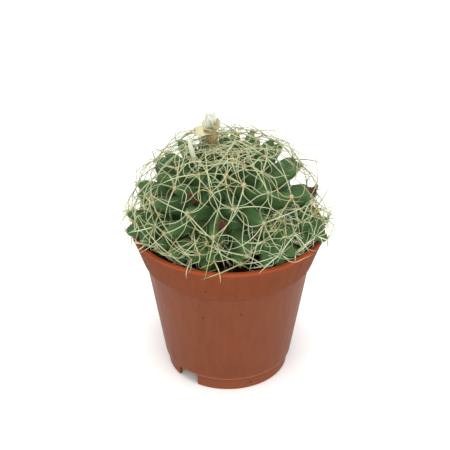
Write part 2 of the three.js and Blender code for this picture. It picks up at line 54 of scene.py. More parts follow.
# The camera of the photograph
CAMERA = SimpleNamespace(elevation=29.2, distance=420, aim=(-1.39, 0, 69.3), sensor=36, lens=76.5)

# Pot
LIP_WIDTH = 2.4
LIP_DEPTH = 2.2
COLLAR_BOTTOM = 54.8
COLLAR_BOTTOM_RADIUS = 37.7
COLLAR_STEP = 1.1
WALL = 1.2
FOOT_RADIUS = 27.5
FOOT_INNER_RADIUS = 25.7
FOOT_HEIGHT = 6.6
WALL_BOTTOM_RADIUS = 29.1
FLOOR_THICKNESS = 1.4
POT_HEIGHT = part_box("pot")[1].z / MM
LIP_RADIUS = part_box("pot")[1].x / MM
POT_SEGMENTS = 144
NOTCH = SimpleNamespace(angles=(-41.5, 95, 206.75), width=10.5, height=6.1, corner=1.8, flare=0.5)

# Soil
SOIL_TOP = 62.4
SOIL_LUMP = 0.55
GAP = 0.35

# Crumbs and grit on the potting mix: most are small, some long, and all a little flat
GRAINS = SimpleNamespace(
    seed=88, count=430, ring=(17, 37.8), size=(0.35, 1.35), length=(0.8, 2.4), height=(0.5, 0.9),
    sunk=0.2, roughness=0.35,
)

UP = Vector((0, 0, 1))
# The turn from one tubercle of a head to the next
GOLDEN_ANGLE = pi * (3 - sqrt(5))
# What is added to a head's seed for each of its rows of draws
SEED_FOR = SimpleNamespace(tones=17, skin=3, further=11, colours=5, wool=9)

# One tubercle, in shares of its radius and length: a blunt cone with a soft belly and a round end. Its
# shoulder is where the end starts to round off, and the finer form is slimmer there than the solid.
TUBERCLE = SimpleNamespace(
    depth=0.72, root=1.06, shoulder=0.65, slim=0.52, round_from=0.85, bow=0.4,
    belly=0.02, bluntness=2.2, pinch=0.16,
)

# How far spines stand out to each side and how low they hang
SPREAD = 46
LOWEST_SPINE = POT_HEIGHT - 2
# One spine of the solids: its radius at its root, how deep it starts in its tubercle, and its arch and
# twist, in shares of its length. Every try at fitting it took a share off its length.
SPINE = SimpleNamespace(radius=(0.3, 0.36), sunk=0.45, start=0.1, arch=(0.1, 0.2), twist=0.16)
SPINE_FIT = SimpleNamespace(lengths=(0.68, 1.05), young=0.75, swing=1.4, tries=7, shorten=0.07)
# The further spines, which also sway on their way. A try takes a share off the length, until one is free.
FURTHER = SimpleNamespace(
    extra=1.8, arch=(0.06, 0.32), sway=(0.1, 0.2), young=0.55, tries=10, shorten=0.05, swing=0.2,
)
# Spines are round here, and a little slimmer than the corners of the three-sided solid ones
SPINE_FINE = 0.94
SPINE_TAPER = 0.65
# Spines of the mother head are golden by the tone of their star, and golden and pale where they are young
GOLD = SimpleNamespace(tone=0.66, fade=0.25, young=0.5, pale=0.4)
# How far a spine or a cushion of wool goes from the tone of its tubercle towards one of its own
OWN_TONE = 0.3

# The wool of an areole: a cushion and the hairs on it. Sizes and young are factors on the head's wool, and
# the rest is in shares of the cushion's size. But a hair's lean is in radians, its droop is a share of its
# length, and its stations have radii in millimetres.
CUSHION = SimpleNamespace(
    sizes=(0.9, 1.2), young=1.1, sunk=0.7, height=1.2, unevenness=0.5,
    profile=((0.0, 0.7), (0.35, 1), (0.6, 0.92), (0.85, 0.55)),
)
HAIR = SimpleNamespace(
    lean=1.35, sunk=0.35, ring=0.3, lengths=(0.6, 1.15), droop=0.5, stations=((0.0, 0.07), (0.5, 0.05)),
)


def mix(low, high, share):
    return low + (high - low) * share


def ease(x):
    x = min(max(x, 0), 1)
    return x * x * (3 - 2 * x)


def direction(azimuth, polar):
    """Unit vector at an azimuth counted from the front to the right, and an angle from straight up."""
    flat = sin(polar)
    return Vector((sin(azimuth) * flat, -cos(azimuth) * flat, cos(polar)))


def times(a, b):
    return Vector((a.x * b.x, a.y * b.y, a.z * b.z))


def draws(seed):
    """A seeded row of draws between 0 and 1, the same as in the solids."""
    step, span = 16807, 2147483647
    state = seed * step**2 % span

    def draw():
        nonlocal state
        state = state * step % span
        return state / span

    return draw


class Bend:
    """A curve from one point to another that is drawn towards a third, and may sway on its way."""

    def __init__(self, start, through, end, sway=None):
        self.start, self.through, self.end, self.sway = start, through, end, sway

    def at(self, share):
        rest = 1 - share
        spot = self.start * rest * rest + self.through * (2 * share * rest) + self.end * share * share
        return spot + self.sway * sin(tau * share) if self.sway else spot

    def heading(self, share):
        way = mix(self.through - self.start, self.end - self.through, share)
        if self.sway:
            way += self.sway * (pi * cos(tau * share))
        return way.normalized()


class Form:
    """A mesh that grows: points in millimetres, faces, and named values on every point."""

    def __init__(self):
        self.points, self.faces, self.values = [], [], {}

    def add(self, points, faces, **values):
        first = len(self.points)
        self.points.extend(points)
        self.faces.extend(tuple(first + i for i in face) for face in faces)
        for name, value in values.items():
            row = value if isinstance(value, list) else [value] * len(points)
            self.values.setdefault(name, [0.0] * first).extend(row)

    def mesh(self, name):
        made = bpy.data.meshes.new(name)
        made.from_pydata([tuple(p * MM) for p in self.points], [], self.faces)
        for key, row in self.values.items():
            made.attributes.new(key, "FLOAT", "POINT").data.foreach_set("value", row)
        made.shade_smooth()
        return made


def put(name, data):
    made = bpy.data.objects.new(name, data)
    bpy.context.scene.collection.objects.link(made)
    return made


def piece(name, form, material, replaces=()):
    """Puts a finished form in the scene as one piece of the plant or its pot."""
    made = put(name, form.mesh(name))
    made.data.materials.append(material)
    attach(made, "root")
    if replaces:
        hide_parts(*replaces)
    return made


def ring_faces(rings, sides, first_point=False):
    """Faces of a closed tube of rings, which ends in one point, and starts in one if it is asked to."""
    faces, start = [], 0
    if first_point:
        faces += [(0, 1 + (j + 1) % sides, 1 + j) for j in range(sides)]
        start = 1
    else:
        faces.append(tuple(reversed(range(sides))))
    for i in range(rings - 1):
        base = start + i * sides
        for j in range(sides):
            after = (j + 1) % sides
            faces.append((base + j, base + after, base + sides + after, base + sides + j))
    last = start + (rings - 1) * sides
    end = last + sides
    faces += [(last + j, last + (j + 1) % sides, end) for j in range(sides)]
    return faces


def sweep(form, curve, stations, sides, across, flatness=1.0, bump=None, **values):
    """Adds a closed tube along a curve. Stations are (share of the curve, radius), and it ends in a point."""
    points, along = [], []
    for share, radius in stations:
        heading = curve.heading(share)
        side = (across - heading * across.dot(heading)).normalized()
        normal = heading.cross(side)
        middle = curve.at(share)
        for j in range(sides):
            angle = tau * j / sides
            out = side * cos(angle) + normal * (sin(angle) * flatness)
            reach = radius * (1 + (bump(middle + out * radius, angle) if bump else 0))
            points.append(middle + out * reach)
            along.append(share)
    points.append(curve.at(1))
    along.append(1.0)
    form.add(points, ring_faces(len(stations), sides), along=along, **values)


# The heads, by the rule of the solids. Each pair of thickness, star, curl and shortest is for the young
# tubercles of the crown and for grown ones. The pairs of spine_rise and fineness are ranges for a draw.


def make_mother():
    reach, height = 41, 36
    centre = Vector((-0.6, -0.5, 75))
    axis = direction(radians(9.3), radians(8.3))
    return SimpleNamespace(
        name="mother_head", seed=4021, centre=centre, foot=Vector((centre.x, centre.y, 0)),
        reach=reach, tips=Vector((reach, reach, height)), axis=axis, tilt=UP.rotation_difference(axis),
        turn=3.11, trunk=Vector((24.5, 24.5, 27.5)), stem_radius=16, stem_depth=7.4,
        young_spacing=5.9, spacing=15.5, grown_polar=74.5, last_polar=118,
        pushing_out=(8, -47, -35), pushing_polar=101, young_reach=0.91, thickness=(0.42, 0.335),
        lengths=(1, 0.9, 0.8, 0.7, 0.6), young_spines=0.9, spines=2, spine_length=25,
        spine_rise=(-14, 6), settled=True, star=(8.5, 5.3), curl=(0.55, 0.3), shortest=(0.5, 0.8),
        fineness=(0.16, 0.28), wool=0.9, hairs=34,
    )


def make_offset(name, seed, azimuth, ring, z, reach, spacing, star=(9.5, 8), paleness=0.75):
    lean, stem_ring = 16, 31.5
    outwards = direction(radians(azimuth), pi / 2)
    axis = direction(radians(azimuth), radians(lean))
    return SimpleNamespace(
        name=name, seed=seed, centre=outwards * ring + UP * z, foot=outwards * stem_ring,
        reach=reach, tips=Vector((reach, reach, reach * 1.1)), axis=axis,
        tilt=UP.rotation_difference(axis), turn=0, trunk=Vector((0.6, 0.6, 0.6)) * reach,
        stem_radius=reach * 0.34, stem_depth=5, young_spacing=spacing * 0.55, spacing=spacing,
        grown_polar=80, last_polar=140, pushing_out=(), pushing_polar=0, young_reach=0.86,
        thickness=(0.42, 0.42), lengths=(1, 0.88, 0.76), young_spines=1.4, spines=1.25,
        spine_length=14, spine_rise=(0, 34), settled=False, star=star, curl=(0.55, 0.6), shortest=(0.5, 0.5),
        fineness=(0.13, 0.22), paleness=paleness, wool=0.62, hairs=18,
    )


MOTHER = make_mother()
OFFSETS = [
    make_offset("offset_front", 77, -14, 33.8, 75, 7.8, 6.9, star=(7, 4.8), paleness=0.3),
    make_offset("offset_front_right", 131, 33, 32.2, 75, 10.4, 8.6),
    make_offset("offset_right", 215, 67, 35.5, 75.5, 10, 8.4, star=(12, 10.5), paleness=1),
    make_offset("offset_left", 302, -67, 35.5, 77, 11, 8.8, star=(10.5, 9), paleness=0.9),
    make_offset("offset_back", 523, 158, 33, 74, 9.6, 8.4, star=(10.5, 9)),
]


def tubercle_at(head, way, share, grown, radius, bow):
    tip = times(way, head.tips) * share + head.centre
    root = times(way, head.trunk) * TUBERCLE.depth + head.centre
    return SimpleNamespace(way=way, grown=grown, tip=tip, root=root, radius=radius, bow=bow)


def grow_tubercles(head):
    """The tubercles of a head on its golden-angle spiral, before they are fitted."""
    draw = draws(head.seed)
    packing, pole_limit, young_polar = 0.93, 0.12, radians(35)
    tubercles, polar, n = [], head.young_spacing / head.reach / 2, 0
    while polar < radians(head.last_polar):
        grown = ease(polar / radians(head.grown_polar))
        spacing = mix(head.young_spacing, head.spacing, grown)
        way = direction(n * GOLDEN_ANGLE + head.turn, polar)
        way.rotate(head.tilt)
        share = mix(head.young_reach, 1, ease(polar / young_polar)) * mix(0.97, 1.03, draw())
        radius = spacing * mix(*head.thickness, grown) * mix(0.94, 1.06, draw())
        tubercles.append(tubercle_at(head, way, share, grown, radius, draw()))
        ring = tau * head.reach**2 * sin(max(polar, pole_limit))
        polar += spacing**2 / ring / packing
        n += 1
    for azimuth in head.pushing_out:
        way = direction(radians(azimuth), radians(head.pushing_polar))
        radius = head.spacing * head.thickness[1]
        tubercles.append(tubercle_at(head, way, 1, 1, radius, 0))
    return tubercles


def settle_in_pot(tubercle):
    """Lays a low tubercle of the mother head over the lip of the pot, or inside it on the soil."""
    tip, radius = tubercle.tip, tubercle.radius
    over_lip = POT_HEIGHT + radius * TUBERCLE.shoulder + 2 * GAP
    room, lip_room = LIP_RADIUS - LIP_WIDTH - 2, 3
    out = hypot(tip.x, tip.y)
    if POT_HEIGHT - lip_room < tip.z < over_lip:
        tip.z = over_lip
    if tip.z < over_lip and out > room:
        tip.x *= room / out
        tip.y *= room / out
    tip.z = max(tip.z, SOIL_TOP + radius + 1)


class Solid:
    """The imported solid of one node, asked for what stands where."""

    def __init__(self, name):
        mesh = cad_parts[name].data
        corners = [v.co / MM for v in mesh.vertices]
        self.tree = BVHTree.FromPolygons(corners, [tuple(p.vertices) for p in mesh.polygons])
        self.corners = KDTree(len(corners))
        for i, corner in enumerate(corners):
            self.corners.insert(corner, i)
        self.corners.balance()

    def has_surface(self, point, near=0.06):
        return self.tree.find_nearest(point, near)[0] is not None

    def has_corner(self, point, near=0.03):
        return self.corners.find(point)[2] < near

    def holds(self, point):
        """Whether a point is inside: the first face straight above it then faces up."""
        normal = self.tree.ray_cast(point, UP)[1]
        return normal is not None and normal.z > 0


SOLIDS = {name: Solid(name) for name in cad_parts}


def fitted_tubercles(head):
    """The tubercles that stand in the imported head, at the length at which they fit there."""
    solid, fitted, tones = SOLIDS[head.name], [], draws(head.seed + SEED_FOR.tones)
    for index, tubercle in enumerate(grow_tubercles(head)):
        tubercle.index, tubercle.tone = index, tones()
        if head.settled:
            settle_in_pot(tubercle)
        for share in head.lengths:
            tip = tubercle.root.lerp(tubercle.tip, share)
            if solid.has_surface(tip):
                tubercle.tip = tip
                fitted.append(tubercle)
                break
    return fitted


def spine_bend(head, tubercle, angle, length, draw, kind=SPINE, sway=0):
    """The curve of one spine: from its areole sideways, arching over the head to its own point."""
    outward = Vector([tubercle.way[i] / head.tips[i] for i in range(3)]).normalized()
    side = outward.cross(head.axis).normalized()
    run = side.cross(outward)
    spread = side * cos(angle) + run * sin(angle)
    rise = radians(mix(*head.spine_rise, draw()))
    end = tubercle.tip + spread * (length * cos(rise)) + outward * (length * sin(rise))
    end.x = min(max(end.x, -SPREAD), SPREAD)
    end.y = min(max(end.y, -SPREAD), SPREAD)
    end.z = max(end.z, LOWEST_SPINE)
    sunk = (tubercle.tip - tubercle.root).normalized() * (tubercle.radius * SPINE.sunk)
    sideways = spread.cross(outward)
    through = (tubercle.tip - sunk).lerp(end, 0.5) + outward * (length * mix(*kind.arch, draw()))
    through += sideways * (length * mix(-kind.twist, kind.twist, draw()))
    swaying = sideways * (length * sway) if sway else None
    return Bend(tubercle.tip - sunk * SPINE.start, through, end, swaying)


def packed_spines(head, tubercles):
    """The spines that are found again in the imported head, each with its tubercle, angle, curve and radius."""
    solid, found = SOLIDS[head.name], []
    for tubercle in tubercles:
        draw = draws(head.seed * (tubercle.index + 2))
        start = draw() * tau
        count = int(mix(head.young_spines, head.spines, tubercle.grown) + draw())
        for k in range(count):
            turn = start + k * tau / count
            for attempt in range(SPINE_FIT.tries):
                angle = turn + (draw() - 0.5) * SPINE_FIT.swing
                shorter = mix(*SPINE_FIT.lengths, draw()) * mix(SPINE_FIT.young, 1, tubercle.grown)
                shorter *= 1 - attempt * SPINE_FIT.shorten
                curve = spine_bend(head, tubercle, angle, head.spine_length * shorter, draw)
                radius = mix(*SPINE.radius, draw())
                if solid.has_corner(curve.end):
                    found.append(SimpleNamespace(tubercle=tubercle, angle=angle, curve=curve, radius=radius))
                    break
    return found


# Materials: sums on sockets are written as sums on values


def shade(red, green, blue, strength=1):
    """A colour from its red, green and blue as seen on a screen, 0 to 255."""
    shares = [value / 255 for value in (red, green, blue)]
    return (*[strength * (x / 12.92 if x < 0.0405 else ((x + 0.055) / 1.055) ** 2.4) for x in shares], 1.0)


class Value:
    """A socket of a material's nodes, with the sums that are done on it."""

    def __init__(self, paint, socket):
        self.paint, self.socket = paint, socket

    def sum(self, operation, first, second):
        return self.paint.node("ShaderNodeMath", {"operation": operation}, {0: first, 1: second})

    def __add__(self, other):
        return self.sum("ADD", self, other)

    def __sub__(self, other):
        return self.sum("SUBTRACT", self, other)

    def __rsub__(self, other):
        return self.sum("SUBTRACT", other, self)

    def __mul__(self, other):
        return self.sum("MULTIPLY", self, other)

    __radd__ = __add__
    __rmul__ = __mul__

    def wave(self):
        """A wave between 0 and 1."""
        return self.paint.node("ShaderNodeMath", {"operation": "SINE"}, {0: self}) * 0.5 + 0.5

    def rising(self, low, high):
        """0 below low, 1 above high, and a smooth rise between them."""
        limits = {"Value": self, "From Min": low, "From Max": high}
        return self.paint.node("ShaderNodeMapRange", {"interpolation_type": "SMOOTHSTEP"}, limits)


class Paint:
    """One material: a Principled shader with a few constant sockets and a colour laid on in coats."""

    def __init__(self, name, shine, **constants):
        self.colour = None
        self.material = bpy.data.materials.new(name)
        self.material.use_nodes = True
        self.tree = self.material.node_tree
        self.shader = self.tree.nodes["Principled BSDF"]
        self.shader.inputs["Specular IOR Level"].default_value = shine
        for key, value in constants.items():
            self.shader.inputs[key.replace("_", " ")].default_value = value

    def node(self, kind, settings=None, inputs=None, output=0):
        made = self.tree.nodes.new(kind)
        for key, value in (settings or {}).items():
            if key == "stops":
                self.set_stops(made.color_ramp, value)
            else:
                setattr(made, key, value)
        for key, value in (inputs or {}).items():
            if isinstance(value, Value):
                self.tree.links.new(value.socket, made.inputs[key])
            else:
                made.inputs[key].default_value = value
        return Value(self, made.outputs[output])

    def set_stops(self, ramp, stops):
        while len(ramp.elements) < len(stops):
            ramp.elements.new(0.5)
        for element, (place, colour) in zip(ramp.elements, stops):
            element.position, element.color = place, colour

    def values(self, *names):
        """The values of these names that the points of a form were given."""
        return [self.node("ShaderNodeAttribute", {"attribute_name": name}, output="Fac") for name in names]

    def place(self, stretch=(1, 1, 1)):
        """Where a point of the surface is, in millimetres, stretched along the axes."""
        here = self.node("ShaderNodeTexCoord", output="Object")
        scale = {0: here, 1: tuple(s / MM for s in stretch)}
        return self.node("ShaderNodeVectorMath", {"operation": "MULTIPLY"}, scale)

    def height(self):
        """Height of a point of the surface over the table, in millimetres."""
        return self.node("ShaderNodeSeparateXYZ", inputs={0: self.place()}, output="Z")

    def noise(self, scale, detail, roughness=0.5, stretch=(1, 1, 1)):
        sockets = {"Vector": self.place(stretch), "Scale": scale, "Detail": detail, "Roughness": roughness}
        return self.node("ShaderNodeTexNoise", inputs=sockets, output="Fac")

    def spots(self, scale, size):
        """1 on small round spots, one in every cell, and 0 between them."""
        sockets = {"Vector": self.place(), "Scale": scale, "Randomness": 1.0}
        far = self.node("ShaderNodeTexVoronoi", inputs=sockets, output="Distance")
        return 1 - far.rising(size * 0.6, size)

    def ramp(self, value, stops):
        settings = {"stops": [(place, shade(*colour)) for place, colour in stops]}
        return self.node("ShaderNodeValToRGB", settings, {"Fac": value}, "Color")

    def blend(self, first, second, share):
        """The first colour turning into the second one where share is 1."""
        first, second = (c if isinstance(c, Value) else shade(*c) for c in (first, second))
        return self.node("ShaderNodeMix", {"data_type": "RGBA"}, {0: share, 6: first, 7: second}, 2)

    def coat(self, colour, share):
        """Lays a colour over the one so far, where share is 1."""
        self.colour = self.blend(self.colour, colour, share)

    def finish(self, roughness=None, height=None, depth=0.1):
        """Links what changes over the surface. Height is in shares of depth, in millimetres."""
        links = {"Base Color": self.colour, "Roughness": roughness}
        if height is not None:
            links["Normal"] = self.node("ShaderNodeBump", None, {"Distance": depth * MM, "Height": height})
        for key, value in links.items():
            if value is not None:
                self.tree.links.new(value.socket, self.shader.inputs[key])
        return self.material


def plastic_finish():
    paint = Paint("pot_plastic", 0.15)
    height = paint.height()
    streaks = paint.noise(0.35, 3, 0.6, (1, 1, 0.12))
    clouds = paint.noise(0.06, 3)
    paint.colour = (113, 57, 29)
    paint.coat((107, 54, 28), streaks.rising(0.35, 0.7))
    paint.coat((118, 58, 28), clouds.rising(0.45, 0.75) * 0.5)
    # Painted light: a lighter, more orange band at the lip, for light falling on its top and shining through
    # its thin plastic
    paint.coat((146, 66, 34), height.rising(POT_HEIGHT - 1.6, POT_HEIGHT - 0.4) * 0.8)
    # Painted shade: a darker band just below the collar's step, where the collar overhangs the wall
    shade_under_collar = height.rising(COLLAR_BOTTOM - 2.2, COLLAR_BOTTOM)
    below_step = 1 - height.rising(COLLAR_BOTTOM, COLLAR_BOTTOM + 0.4)
    paint.coat((74, 36, 22), shade_under_collar * below_step * 0.4)
    # Painted highlight: a pale line on the rounded edge where the wall steps in to the foot ring
    foot_edge_highlight = height.rising(FOOT_HEIGHT - 0.2, FOOT_HEIGHT + 0.1)
    below_wall = 1 - height.rising(FOOT_HEIGHT + 0.3, FOOT_HEIGHT + 0.7)
    paint.coat((180, 122, 96), foot_edge_highlight * below_wall * 0.8)
    # Painted bounce light: paler towards the bottom, for light from the pale floor
    paint.coat((142, 80, 52), (1 - height.rising(0.0, 11.0)) * 0.5)
    dirt = paint.spots(0.16, 0.13) * paint.noise(0.11, 2).rising(0.5, 0.62)
    paint.coat((62, 34, 22), dirt * 0.7)
    scuffs = paint.noise(1.1, 4, 0.7, (1, 1, 0.35)).rising(0.66, 0.78) * clouds.rising(0.4, 0.6)
    paint.coat((150, 100, 76), scuffs * 0.35)
    collar = height.rising(COLLAR_BOTTOM, COLLAR_BOTTOM + 1)
    roughness = 0.42 + 0.16 * streaks + 0.2 * scuffs + 0.3 * collar
    return paint.finish(roughness, paint.noise(2.4, 3, 0.6) * 0.35 + streaks * 0.65, 0.09)


def peat_finish():
    paint = Paint("potting_mix", 0.25)
    crumbs = paint.noise(0.9, 5, 0.7)
    paint.colour = paint.ramp(crumbs, [(0.3, (22, 16, 12)), (0.52, (46, 35, 27)), (0.75, (84, 66, 50))])
    paint.coat((178, 166, 146), paint.spots(0.8, 0.22) * paint.noise(0.5, 1).rising(0.55, 0.6) * 0.8)
    return paint.finish(0.82 + 0.16 * crumbs, crumbs, 0.7)


def grain_finish():
    paint = Paint("potting_mix_grains", 0.25)
    [tone] = paint.values("tone")
    fibres = paint.noise(3.0, 4, 0.7, (1, 1, 0.4))
    stops = [(0.0, (26, 19, 14)), (0.55, (62, 45, 33)), (0.86, (104, 82, 60)), (0.93, (196, 188, 170))]
    paint.colour = paint.ramp(tone, stops)
    paint.coat((20, 14, 10), fibres.rising(0.5, 0.7) * 0.5)
    return paint.finish(0.8 + 0.18 * fibres, fibres, 0.25)


def flesh_finish(name, dark, green, light):
    """Cactus skin: darker low down, lighter at the very root, paler at the tip, a fine pale stipple and a dull
    shine.
    """
    blur = dict(Subsurface_Weight=0.12, Subsurface_Scale=MM, Subsurface_Radius=(0.6, 1.6, 0.4))
    paint = Paint(name, 0.16, **blur)
    along, tone, grown = paint.values("along", "tone", "grown")
    clouds, veins, pores = paint.noise(0.22, 3, 0.6), paint.noise(1.4, 3, 0.6), paint.spots(2.6, 0.2)
    # Lighter at the root and on the trunk: tubercle bases of this cactus are paler, and part of the lift is
    # painted fill light for the shaded gaps between tubercles
    stops = [(0.0, (*dark, 1.15)), (0.3, dark), (0.62, green), (0.93, green), (1.0, light)]
    paint.colour = paint.ramp(along, stops)
    paint.coat(light, (1 - grown) * 0.08)
    paint.coat(dark, clouds.rising(0.42, 0.72) * 0.45)
    paint.coat(light, tone.rising(0.55, 1.0) * 0.3)
    paint.coat((150, 165, 120), pores * (0.12 + 0.14 * clouds))
    return paint.finish(0.42 + 0.2 * veins + 0.1 * clouds, veins * 0.7 + pores * 0.3, 0.12)


def spine_finish():
    """Spines: darker at the root and the point, cream along them, and golden or whitish where marked so."""
    paint = Paint("spine_straw", 0.4)
    along, golden, pale = paint.values("along", "golden", "pale")
    grain = paint.noise(2.2, 3, 0.6)
    places = (0.0, 0.12, 0.7, 1.0)
    cream = (140, 124, 86), (156, 162, 123), (168, 181, 148), (148, 142, 112)
    gold = (130, 110, 58), (152, 147, 86), (162, 166, 110), (138, 120, 74)
    paint.colour, golden_brown = (paint.ramp(along, list(zip(places, row))) for row in (cream, gold))
    paint.coat(golden_brown, golden * 0.85)
    paint.coat((198, 208, 172), pale * along.rising(0.0, 0.3))
    stretches = paint.noise(0.13, 2).rising(0.5, 0.64)
    paint.coat((150, 124, 60), stretches * (1 - pale) * 0.6)
    return paint.finish(0.38 + 0.25 * grain, grain, 0.04)


def wool_finish():
    paint = Paint("areole_wool", 0.1)
    [tone] = paint.values("tone")
    fluff = paint.noise(4.0, 4, 0.7)
    stops = [(0.0, (166, 162, 138)), (0.5, (158, 149, 120)), (0.8, (158, 144, 108)), (1.0, (150, 130, 88))]
    paint.colour = paint.ramp(tone, stops)
    paint.coat((136, 112, 78), fluff.rising(0.5, 0.75) * 0.35)
    return paint.finish(0.8 + 0.2 * fluff, fluff, 0.12)


def petal_finish(name, base, middle, tip, streak, stalk):
    """A thin petal: its colour runs from base to tip, with fine streaks. The tube has a colour of its own."""
    paint = Paint(name, 0.3)
    along, side, tone, on_tube = paint.values("along", "side", "tone", "stalk")
    clouds = paint.noise(1.3, 4, 0.6)
    lines = (side * 24 + clouds * 5).wave().rising(0.2, 0.9)
    paint.colour = paint.ramp(along, [(0.0, base), (0.5, middle), (1.0, tip)])
    paint.coat(streak, lines * 0.14 + clouds.rising(0.55, 0.8) * 0.25)
    paint.coat(base, tone * 0.2)
    paint.coat(paint.blend(stalk, base, clouds.rising(0.35, 0.8)), on_tube)
    return paint.finish(0.5 + 0.3 * clouds, lines * 0.6 + clouds * 0.4, 0.1)


def dry_finish():
    """Dry petals and husks: dark brown, with rusty and straw-coloured streaks along them."""
    paint = Paint("dry_flower", 0.2)
    along, tone = paint.values("along", "tone")
    husk = paint.noise(1.6, 4, 0.7, (1, 1, 0.5))
    paint.colour = paint.ramp(husk, [(0.3, (40, 28, 19)), (0.5, (84, 54, 32)), (0.7, (138, 86, 48))])
    paint.coat((150, 124, 84), tone.rising(0.6, 1.0) * 0.6)
    paint.coat((58, 42, 28), along.rising(0.6, 1.0) * 0.5)
    return paint.finish(0.7 + 0.25 * husk, husk, 0.5)


PLASTIC = plastic_finish()
FLESH = flesh_finish("cactus_flesh", (62, 88, 49), (62, 88, 51), (79, 106, 61))
YOUNG_FLESH = flesh_finish("young_flesh", (46, 66, 31), (56, 81, 39), (86, 114, 60))
STRAW = spine_finish()
WOOL = wool_finish()
DRY = dry_finish()
WHITE_PETAL = petal_finish(
    "white_petals", (208, 214, 186), (222, 226, 210), (222, 226, 214), (196, 204, 178), (176, 184, 150),
)
SEPAL = petal_finish(
    "wilting_sepals", (180, 172, 132), (194, 188, 152), (184, 178, 142), (160, 148, 108), (120, 98, 44),
)

# Pot


def rounded(corners, radius, steps=4):
    """An outline with each of its corners turned into a small curve."""
    points = [Vector(corners[0])]
    for before, corner, after in zip(corners, corners[1:], corners[2:]):
        before, corner, after = Vector(before), Vector(corner), Vector(after)
        back = min(radius, (before - corner).length * 0.45)
        on = min(radius, (after - corner).length * 0.45)
        start = corner + (before - corner).normalized() * back
        end = corner + (after - corner).normalized() * on
        curve = Bend(start, corner, end)
        points += [curve.at(i / steps) for i in range(steps + 1)]
    return points + [Vector(corners[-1])]


def turned(outline, segments):
    """A body turned round the pot's axis. The outline runs from the axis round to the axis."""
    form, rows = Form(), outline[1:-1]
    points = [Vector((0, 0, outline[0].y))]
    for spot in rows:
        for j in range(segments):
            angle = tau * j / segments
            points.append(Vector((spot.x * sin(angle), -spot.x * cos(angle), spot.y)))
    points.append(Vector((0, 0, outline[-1].y)))
    form.add(points, ring_faces(len(rows), segments, first_point=True))
    return form


def pot_wall_radius(z):
    share = (z - FOOT_HEIGHT) / (COLLAR_BOTTOM - FOOT_HEIGHT)
    return mix(WALL_BOTTOM_RADIUS, COLLAR_BOTTOM_RADIUS - COLLAR_STEP, share)


def pot_inner_radius(z):
    if z < COLLAR_BOTTOM:
        return pot_wall_radius(z) - WALL
    share = (z - COLLAR_BOTTOM) / (POT_HEIGHT - LIP_DEPTH - COLLAR_BOTTOM)
    return mix(COLLAR_BOTTOM_RADIUS - WALL, LIP_RADIUS - LIP_WIDTH, share)


def notch_cutter(angle, below=-1, beyond=4):
    """A round-cornered gate that reaches through the foot ring on one side."""
    half, top = NOTCH.width / 2, NOTCH.height
    corners = [(-half - NOTCH.flare, below), (-half, top), (half, top), (half + NOTCH.flare, below)]
    gate = rounded(corners, NOTCH.corner, 6)
    near, far = FOOT_INNER_RADIUS - beyond, FOOT_RADIUS + beyond
    turn = Matrix.Rotation(radians(angle), 3, "Z")
    points = [turn @ Vector((p.x, -depth, p.y)) for depth in (near, far) for p in gate]
    count, form = len(gate), Form()
    faces = [tuple(range(count)), tuple(reversed(range(count, 2 * count)))]
    faces += [(i, i + count, (i + 1) % count + count, (i + 1) % count) for i in range(count)]
    form.add(points, faces)
    return form.mesh("notch_cutter")


def make_pot(edge=0.55, crease=35):
    """The pot: its outline turned round, with the notches cut out of its foot ring."""
    floor_top, lip_foot = FOOT_HEIGHT + FLOOR_THICKNESS, POT_HEIGHT - LIP_DEPTH
    lip_inner, slope_out, slope_up = LIP_RADIUS - LIP_WIDTH, 0.4, 0.3
    outline = [
        (0, FOOT_HEIGHT), (FOOT_INNER_RADIUS, FOOT_HEIGHT), (FOOT_INNER_RADIUS, 0), (FOOT_RADIUS, 0),
        (FOOT_RADIUS, FOOT_HEIGHT), (WALL_BOTTOM_RADIUS, FOOT_HEIGHT),
        (pot_wall_radius(COLLAR_BOTTOM), COLLAR_BOTTOM), (COLLAR_BOTTOM_RADIUS, COLLAR_BOTTOM),
        (LIP_RADIUS - slope_out, lip_foot), (LIP_RADIUS, lip_foot + slope_up), (LIP_RADIUS, POT_HEIGHT),
        (lip_inner, POT_HEIGHT), (lip_inner, lip_foot),
        (pot_inner_radius(COLLAR_BOTTOM), COLLAR_BOTTOM),
        (pot_inner_radius(COLLAR_BOTTOM - WALL), COLLAR_BOTTOM - WALL),
        (pot_inner_radius(floor_top), floor_top), (0, floor_top),
    ]
    shell = turned(rounded(outline, edge), POT_SEGMENTS)
    pot = piece("pot_shell", shell, PLASTIC, ["pot"])
    for angle in NOTCH.angles:
        cutter = put("notch_cutter", notch_cutter(angle))
        cut = pot.modifiers.new("notch", "BOOLEAN")
        cut.operation, cut.object, cut.solver = "DIFFERENCE", cutter, "EXACT"
        with bpy.context.temp_override(object=pot):
            bpy.ops.object.modifier_apply(modifier=cut.name)
        bpy.data.objects.remove(cutter)
    pot.data.set_sharp_from_angle(angle=radians(crease))


# Soil


def soil_height(x, y):
    """Height of the potting mix: the lumps of its solid, with finer crumbs on them."""
    lumps = sin(x * 0.83 + y * 0.31) + sin(y * 0.97 - x * 0.42) + sin(x * 0.37 + y * 0.58)
    crumbs = noise.noise(Vector((x, y, 0)) * 0.6) + 0.6 * noise.noise(Vector((x, y, 9)) * 1.7)
    return SOIL_TOP + SOIL_LUMP * lumps / 2 + 0.45 * crumbs


